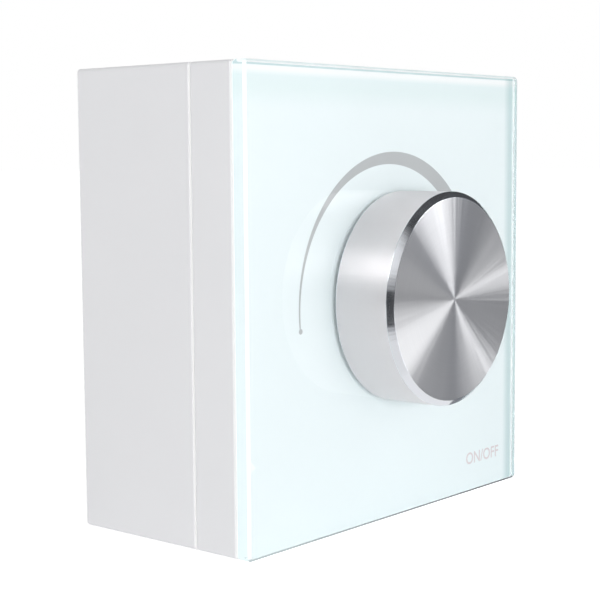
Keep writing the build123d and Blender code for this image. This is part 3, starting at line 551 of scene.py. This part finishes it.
def rounded_square(half, radius):
    """Outline of a square with round corners, as complex numbers x + iz, counter-clockwise.

    One quarter is a straight side and then a corner arc; the others are that quarter turned by right
    angles.
    """
    reach = half - radius
    side = half + 1j * np.linspace(-reach, reach, side_points, endpoint=False)
    arc = reach + 1j * reach + radius * np.exp(0.5j * np.pi * np.linspace(0, 1, corner_points))
    quarter = np.concatenate([side, arc[:-1]])
    return np.concatenate([quarter * 1j**turn for turn in range(4)])


def glass_plate():
    """A ring-shaped section carried round the panel's outline: hole, front, arris, side, arris and back.

    Each row of the grid is the hole or the outline at one depth; the rows close on the hole's wall.
    The back lies a little behind the print's front, so the print shows as if bonded to the glass.
    """
    low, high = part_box("glass_panel")
    half, front, back = high[0], low[1], high[1] + print_sink
    insets = (0, glass_arris, glass_back_arris)
    edge, front_edge, back_edge = (rounded_square(half - inset, glass_corner - inset) for inset in insets)
    hole = glass_hole * np.exp(1j * np.angle(edge))
    rows = [
        (hole, front),
        (front_edge, front),
        (edge, front + glass_arris),
        (edge, back - glass_back_arris),
        (back_edge, back),
        (hole, back),
    ]
    grid = np.stack([np.stack([line.real, 0 * line.real + y, line.imag], axis=-1) for line, y in rows])
    faces = quads(len(rows), len(edge), True)[:, ::-1]
    # Faces from each row on: front, arris, side, back arris, back and the hole's wall
    names = ["clear_glass", "ground_glass_edge", "glass_side", "hidden_glass_edge"]
    skin = np.repeat([0, 1, 2, 3, 0, 0], len(edge))
    piece = new_piece(
        "glass_plate", grid.reshape(-1, 3), faces, "housing",
        [finishes[name] for name in names], skin, glass_smooth,
    )
    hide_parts("glass_panel")


glass_plate()


# Knob

def turned_knob():
    """The cap's half section, from the middle of its inside out to the middle of its face, turned round Y."""
    low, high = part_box("knob_cap")
    radius, front, back = high[0], low[1], high[1]
    bore, inside = radius - knob_wall, front + knob_wall
    corners = [
        (0, inside),
        (bore, inside),
        (bore, back),
        (radius, back),
        (radius, front + knob_bevel_depth),
        (radius - knob_bevel_width, front),
        (knob_middle, front),
        (0, front),
    ]
    reach = [0, knob_edge, knob_edge, knob_back_round, knob_edge, knob_edge, 0, 0]
    profile = soften(corners, reach, edge_steps)
    points, faces, rows = revolve(profile, knob_columns)
    start = profile[rows]
    along = profile[np.minimum(rows + 1, len(profile) - 1)] - start
    # The bevel and the softened edges take the last finish, the straight side the second
    slanted = np.abs(along).min(axis=1) > tiny
    straight = (along[:, 0] == 0) & (start[:, 0] == radius)
    names = ["spun_aluminium", "turned_side", "cut_bevel"]
    skin = np.select([slanted, straight], [2, 1], 0)
    piece = new_piece(
        "turned_knob", points, faces, "knob",
        [finishes[name] for name in names], skin, knob_smooth,
    )
    turning_map(piece.data, "turning")
    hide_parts("knob_cap")


turned_knob()


# Snap dome of the push switch, which flattens as the plunger goes in; here it keeps its domed shape

def snap_dome():
    """The dome's section turned round Y: a flat crown, a sloping side and a thin rim."""
    low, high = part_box("switch_dome")
    radius, crown, rim = high[0], low[1], high[1]
    profile = [
        (0, crown + dome_sheet),
        (dome_crown - dome_sheet, crown + dome_sheet),
        (radius - dome_rim, rim),
        (radius, rim),
        (dome_crown, crown),
        (0, crown),
    ]
    points, faces = revolve(profile, dome_columns)[:2]
    piece = new_piece("snap_dome", points, faces, "housing", [finishes["spring_steel"]])
    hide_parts("switch_dome")
    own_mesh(piece)


snap_dome()


# Lettering on the back of the glass

def legend():
    """The words ON/OFF as a thin layer of ink in front of the print, set right-aligned."""
    curve = bpy.data.curves.new("legend", "FONT")
    curve.body = "ON/OFF"
    curve.align_x = "RIGHT"
    curve.size = legend_height / capital_share
    curve.extrude = legend_ink
    curve.offset = legend_weight
    holder = new_object("legend_curve", curve)
    mesh = bpy.data.meshes.new_from_object(holder.evaluated_get(bpy.context.evaluated_depsgraph_get()))
    bpy.data.objects.remove(holder)
    place = Matrix.Translation((legend_right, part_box("glass_print")[0][1], legend_base))
    mesh.transform(place @ Matrix.Rotation(math.pi / 2, 4, "X"))
    mesh.materials.clear()
    mesh.materials.append(finishes["legend_ink"])
    piece = new_object("legend", mesh)
    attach(piece, "housing")


legend()


# Camera

def look():
    """Camera whose axes come from the yaw, then the pitch down, then the roll."""
    yaw, pitch, roll = (math.radians(a) for a in (camera_yaw, camera_pitch, camera_roll))
    level = math.cos(pitch)
    ahead = Vector((math.sin(yaw) * level, math.cos(yaw) * level, -math.sin(pitch)))
    right = Vector((math.cos(yaw), -math.sin(yaw), 0))
    up = right.cross(ahead)
    rolled_right = math.cos(roll) * right + math.sin(roll) * up
    rolled_up = math.cos(roll) * up - math.sin(roll) * right
    camera = bpy.data.cameras.new("camera")
    camera.sensor_fit = "HORIZONTAL"
    camera.sensor_width = camera_sensor
    camera.lens = camera_focal * camera_sensor
    camera.clip_start = camera_near
    holder = new_object("camera", camera)
    turn = Matrix((rolled_right, rolled_up, -ahead)).transposed().to_4x4()
    holder.matrix_world = Matrix.Translation(camera_place) @ turn
    bpy.context.scene.camera = holder


look()


# Floor, light and surroundings

def seen_white(tree):
    """One for rays from the camera and for those that metal and glass send on, else zero."""
    path = put(tree, "LightPath")
    shiny = maths(tree, "MAXIMUM", path.outputs["Is Glossy Ray"], path.outputs["Is Transmission Ray"])
    return maths(tree, "MAXIMUM", path.outputs["Is Camera Ray"], shiny)


def unscattered(tree):
    """One for rays that no dull surface has scattered yet, else zero."""
    return maths(tree, "LESS_THAN", put(tree, "LightPath").outputs["Diffuse Depth"], 0.5)


def stage_card(name, place, aim, size, strength, rays, soft=sharp, across=None, tint=white):
    """A flat card at a place, facing an aim point; it shines from its front only.

    Its size is its width and height. Its strength fades over the soft lengths at its left, right, lower
    and upper edge, as its front shows them.
    """
    width, height = size
    out = (Vector(aim) - Vector(place)).normalized()
    across = Vector(across) if across else Vector((0, 0, 1)).cross(out)
    across.normalize()
    upward = out.cross(across)
    turns = ((0, 0), (1, 0), (1, 1), (0, 1))
    corners = [Vector(place) + across * width * (a - 0.5) + upward * height * (b - 0.5) for a, b in turns]
    mesh = bpy.data.meshes.new(name)
    mesh.from_pydata(corners, [], [(0, 1, 2, 3)])
    mesh.uv_layers.new(name="card").data.foreach_set("uv", [c for turn in turns for c in turn])
    finish, tree = bare_finish(name)
    place_on = put(tree, "SeparateXYZ", {"Vector": put(tree, "UVMap", uv_map="card").outputs["UV"]})
    cover = maths(tree, "SUBTRACT", 1, put(tree, "NewGeometry").outputs["Backfacing"])
    if rays == ("glossy",):
        cover = maths(tree, "MULTIPLY", cover, unscattered(tree))
    edges = (("X", 0, width), ("X", 1, width), ("Y", 0, height), ("Y", 1, height))
    for (pin, edge, length), fade in zip(edges, soft):
        if fade:
            inner = edge + (1 - 2 * edge) * fade / length
            ramp = mapped(tree, place_on.outputs[pin], edge, inner, way="SMOOTHSTEP")
            cover = maths(tree, "MULTIPLY", cover, ramp)
    shine = put(tree, "Emission", {"Strength": strength, "Color": tint})
    clear = put(tree, "BsdfTransparent")
    both = put(tree, "MixShader", {0: cover, 1: clear.outputs[0], 2: shine.outputs[0]})
    put(tree, "OutputMaterial", {"Surface": both.outputs[0]})
    mesh.materials.append(finish)
    card = new_object(name, mesh)
    card.visible_camera = False
    card.visible_shadow = False
    card.visible_diffuse = "diffuse" in rays
    card.visible_glossy = "glossy" in rays
    card.visible_transmission = "transmission" in rays


def floor():
    """A wide white floor that reads white to the camera and keeps the object's shadow."""
    level = cad_box[0][2]
    signs = ((-1, -1), (1, -1), (1, 1), (-1, 1))
    mesh = bpy.data.meshes.new("floor")
    mesh.from_pydata([(a * floor_reach, b * floor_reach, level) for a, b in signs], [], [(0, 1, 2, 3)])
    finish, tree = bare_finish("floor")
    paint = put(tree, "BsdfDiffuse", {"Color": floor_paint})
    seen = put(tree, "LightPath").outputs["Is Camera Ray"]
    glow = put(tree, "Emission", {"Strength": mapped(tree, seen, 0, 1, floor_glow, floor_seen_glow)})
    both = put(tree, "AddShader", {0: paint.outputs[0], 1: glow.outputs[0]})
    put(tree, "OutputMaterial", {"Surface": both.outputs[0]})
    mesh.materials.append(finish)
    ground = new_object("floor", mesh)
    ground.visible_glossy = False


def surroundings():
    """A white world to the camera, metal and glass, and an even soft light to everything else."""
    world = bpy.data.worlds.new("surroundings")
    bpy.context.scene.world = world
    world.use_nodes = True
    tree = world.node_tree
    tree.nodes.clear()
    level = mapped(tree, seen_white(tree), 0, 1, ambient, 1)
    shine = put(tree, "Background", {"Color": white, "Strength": level})
    put(tree, "OutputWorld", {"Surface": shine.outputs[0]})


knob_face = Vector((0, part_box("knob_cap")[0][1], 0))


def wall_card(name, azimuths, heights, distance, strength, soft=sharp):
    """An upright card that only metal and glass see, between two azimuths and two elevations.

    It stands square to its middle azimuth, at a distance from the knob's face. Azimuth 0 is straight in
    front of the panel and 90 to the right.
    """
    middle, half = math.radians(sum(azimuths) / 2), math.radians(azimuths[1] - azimuths[0]) / 2
    low, high = (distance * math.tan(math.radians(e)) for e in heights)
    way = Vector((math.sin(middle), -math.cos(middle), 0))
    foot = knob_face + distance * way
    place = foot + Vector((0, 0, (low + high) / 2))
    tint = cool if strength < faint else white
    size = (2 * distance * math.tan(half), high - low)
    stage_card(name, place, place - way, size, strength, ("glossy",), soft, tint=tint)


def slant_card(name, start, end, breadth, distance, strength):
    """A strip that only metal and glass see, between two directions given as azimuth and elevation."""
    ends = []
    for azimuth, elevation in (start, end):
        turn, rise = math.radians(azimuth), math.radians(elevation)
        level = math.cos(rise)
        way = Vector((math.sin(turn) * level, -math.cos(turn) * level, math.sin(rise)))
        ends.append(knob_face + distance * way)
    along = ends[1] - ends[0]
    size = (along.length, 2 * distance * math.tan(math.radians(breadth) / 2))
    stage_card(name, (ends[0] + ends[1]) / 2, knob_face, size, strength, ("glossy",), across=along)


floor()
surroundings()
shone = ("diffuse", "transmission")
stage_card("top light", (0.0, -0.25, 0.75), (0, 0, 0), (0.9, 0.9), 0.4, shone)
stage_card("front light", (-0.5, -0.98, 0.04), (0, 0, 0), (0.26, 0.26), 39.0, shone)

# Cards that the knob and the glass mirror: azimuths, elevations, distance, strength and soft edges
dark, dim = 0.06, 0.25
wall_card("dark front", (-75, 22), (-5, 62), 0.8, 0.09)
wall_card("dim low front", (3, 62), (-37, -3.3), 0.70, dim)
wall_card("dim low right", (55, 120), (-37, -2.4), 0.69, dim)
wall_card("dark top", (-4, 92), (41, 66), 0.59, dark)
wall_card("dim far right", (67, 121), (1, 71), 0.8, 0.28)
wall_card("dark step", (-42, -22), (-19, 7), 0.60, dark)
wall_card("dim horizon", (63, 104), (-2.4, 5.1), 0.59, dim)
wall_card("dim middle", (44, 64), (-23, 9), 0.575, dim)
wall_card("dim gap", (14, 46), (-0.4, 3.0), 0.585, dim)
wall_card("grey right", (22, 98), (5.1, 64), 0.9, 0.5)
wall_card("dim low left", (-72, 19), (-34, -17.6), 0.64, dim)
wall_card("bright low front", (-39, 18), (-23, -6.8), 0.63, 1.1)
wall_card("bright step", (-48.4, 3.4), (-3.1, 52), 0.595, 1.0, (0.348, 0, 0.337, 0))
wall_card("low step", (-50, 0), (-58, -13.1), 0.598, 0.92, (0, 0, 0, 0.237))
wall_card("dark right", (78, 112), (5.5, 41), 0.57, 0.075)
wall_card("key", (49.1, 60), (8.4, 23), 0.60, 2.8, (0.05, 0, 0, 0))
wall_card("high key", (23, 52), (25.5, 39.4), 0.61, 6.5)
wall_card("grey left", (-155, -76), (-5, 60), 0.7, 0.7)
wall_card("bright left", (-110, -50), (18, 48), 0.5, 3.1, (0.04, 0.04, 0.04, 0.04))

# Slanted strips: their two ends as azimuth and elevation, breadth in degrees, distance and strength
slant_card("right line", (64, -4.8), (97, 0), 2.2, 0.58, 2.4)
slant_card("right glow", (66, -2.4), (93, 1.4), 3.2, 0.582, 0.42)
slant_card("low right line", (64, -11.3), (84.4, -19.9), 2.8, 0.581, 2.85)
slant_card("low right glow", (67, -11.5), (85, -29), 7.6, 0.585, 0.92)
slant_card("low front glow", (42, -8.7), (7.8, -29.6), 15.8, 0.60, 1.8)

bpy.context.scene.view_settings.view_transform = "Standard"
